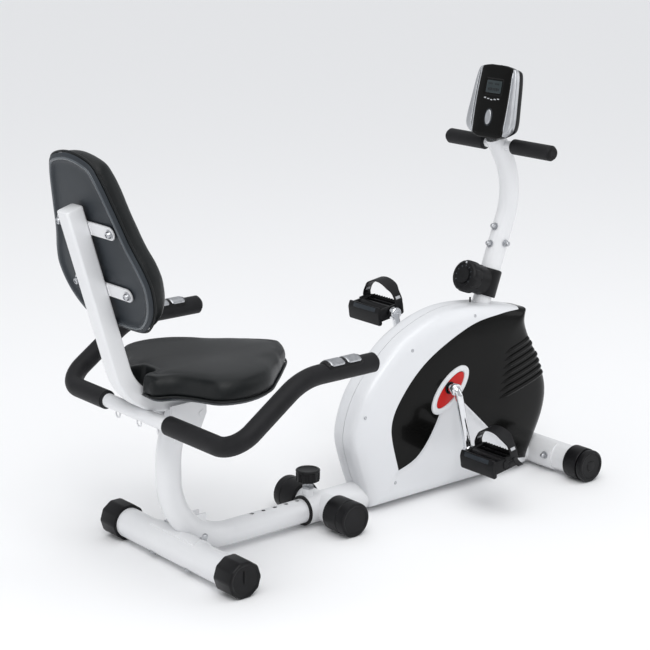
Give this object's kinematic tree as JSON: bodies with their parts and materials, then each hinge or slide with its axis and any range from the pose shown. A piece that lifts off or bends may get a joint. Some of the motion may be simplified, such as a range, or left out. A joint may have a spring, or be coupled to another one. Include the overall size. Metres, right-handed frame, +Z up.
{
  "type": "recumbent exercise bike",
  "caption": "Compact magnetic recumbent exercise bike: sliding padded seat and backrest with pulse-grip handlebar, crank with strapped pedals in a shrouded drive, and a leaning console post.",
  "frame": {"origin": "on the floor, under the middle of the bike's bounding box", "axes": "+X forwards from the backrest to the console, +Y to the rider's left, +Z up"},
  "size_m": [1.2856, 0.6202, 0.9402],
  "materials": {
    "frame_white": "gloss powder coat",
    "shroud_white": "gloss",
    "gloss_black": "gloss",
    "black_plastic": "satin",
    "grey_plastic": "grained matte",
    "silver_plastic": "silver paint",
    "red_plastic": "gloss",
    "vinyl": "soft black vinyl",
    "foam": "closed-cell foam, matte",
    "black_rubber": "matte",
    "steel": "zinc plated",
    "dark_metal": "dark enamel",
    "cast_iron": "machined",
    "chrome": "polished"
  },
  "bodies": {
    "frame": {"main_rail": "frame_white", "pin_nut": "steel", "slide_bushing": "black_plastic", "mid_foot_tube": "frame_white", "mid_foot_caps": "black_plastic", "front_foot_tube": "frame_white", "front_foot_caps": "black_plastic", "frame_bolts": "steel", "post_stub": "frame_white", "drive_bracket": "dark_metal", "shroud_left": "shroud_white", "shroud_right": "shroud_white", "inset_left": "gloss_black", "inset_right": "gloss_black", "crank_bezels": "shroud_white", "crank_discs": "red_plastic", "shroud_screws": "steel", "crank_bearings": "steel", "flywheel_axle": "steel", "drive_belt": "black_rubber", "tension_cable": "black_rubber", "console_post": "frame_white", "t_bar": "frame_white", "t_bar_grips": "foam", "tension_housing": "black_plastic", "console_back": "black_plastic", "console_face": "gloss_black", "console_cheeks": "silver_plastic"},
    "seat_frame": {"slide_tube": "frame_white", "rear_foot_tube": "frame_white", "rear_bolts": "steel", "seat_bracket": "frame_white", "back_post": "frame_white", "back_shell": "grey_plastic", "back_pad": "vinyl", "seat_pan": "grey_plastic", "seat_pad": "vinyl", "cushion_bolts": "steel", "handlebar": "frame_white", "handle_grips": "foam", "pulse_housings": "black_plastic", "pulse_plates": "steel"},
    "rear_cap_l": {"rear_cap_left": "black_plastic"},
    "rear_cap_r": {"rear_cap_right": "black_plastic"},
    "roller_l": {"front_roller_left": "black_plastic"},
    "roller_r": {"front_roller_right": "black_plastic"},
    "lock_pin": {"pin_knob": "black_plastic", "seat_pin": "steel"},
    "crankset": {"crank": "chrome", "drive_pulley": "dark_metal", "pedal_spindles": "chrome"},
    "pedal_l": {"pedal_left": "black_plastic", "strap_left": "black_rubber"},
    "pedal_r": {"pedal_right": "black_plastic", "strap_right": "black_rubber"},
    "flywheel_set": {"flywheel": "cast_iron", "flywheel_pulley": "dark_metal"},
    "brake_arm": {"magnet_arm": "dark_metal"},
    "tension_dial": {"tension_knob": "black_plastic"},
    "mode_key": {"mode_button": "silver_plastic"}
  },
  "joints": [
    {"name": "seat_slide", "type": "slide", "parent": "frame", "child": "seat_frame", "axis": [1, 0, 0], "range_m": [-0.09, 0.15]},
    {"name": "lock_pin_slide", "type": "slide", "parent": "frame", "child": "lock_pin", "axis": [0, 0, -1], "range_m": [0, 0.009]},
    {"name": "rear_cap_l_turn", "type": "hinge", "parent": "seat_frame", "child": "rear_cap_l", "pos_m": [-0.399, 0.2, 0.0375], "axis": [0, 1, 0], "range_deg": [-180, 180]},
    {"name": "rear_cap_r_turn", "type": "hinge", "parent": "seat_frame", "child": "rear_cap_r", "pos_m": [-0.399, -0.2, 0.0375], "axis": [0, 1, 0], "range_deg": [-180, 180]},
    {"name": "roller_l_spin", "type": "hinge", "parent": "frame", "child": "roller_l", "pos_m": [0.607, 0.189, 0.0375], "axis": [0, 1, 0], "continuous": true},
    {"name": "roller_r_spin", "type": "hinge", "parent": "frame", "child": "roller_r", "pos_m": [0.607, -0.189, 0.0375], "axis": [0, 1, 0], "continuous": true},
    {"name": "crank_spin", "type": "hinge", "parent": "frame", "child": "crankset", "pos_m": [0.291, 0, 0.253], "axis": [0, 1, 0], "continuous": true},
    {"name": "pedal_l_spin", "type": "hinge", "parent": "crankset", "child": "pedal_l", "pos_m": [0.271, 0.16, 0.392], "axis": [0, 1, 0], "continuous": true},
    {"name": "pedal_r_spin", "type": "hinge", "parent": "crankset", "child": "pedal_r", "pos_m": [0.311, -0.16, 0.114], "axis": [0, 1, 0], "continuous": true},
    {"name": "flywheel_spin", "type": "hinge", "parent": "frame", "child": "flywheel_set", "pos_m": [0.176, 0, 0.212], "axis": [0, 1, 0], "continuous": true},
    {"name": "tension_dial_turn", "type": "hinge", "parent": "frame", "child": "tension_dial", "pos_m": [0.454, 0, 0.45473], "axis": [-0.9367, 0, 0.3502], "range_deg": [0, 270]},
    {"name": "brake_arm_swing", "type": "hinge", "parent": "frame", "child": "brake_arm", "pos_m": [0.192, 0, 0.302], "axis": [0, 1, 0], "range_deg": [0, 6]},
    {"name": "mode_key_press", "type": "slide", "parent": "frame", "child": "mode_key", "axis": [0.9781, 0, -0.2079], "range_m": [0, 0.0015], "stiffness_N_per_m": 400}
  ],
  "couplings": [
    {"joint": "flywheel_spin", "follows": "crank_spin", "ratio": 5},
    {"joint": "brake_arm_swing", "follows": "tension_dial_turn", "ratio": 0.022222}
  ]
}
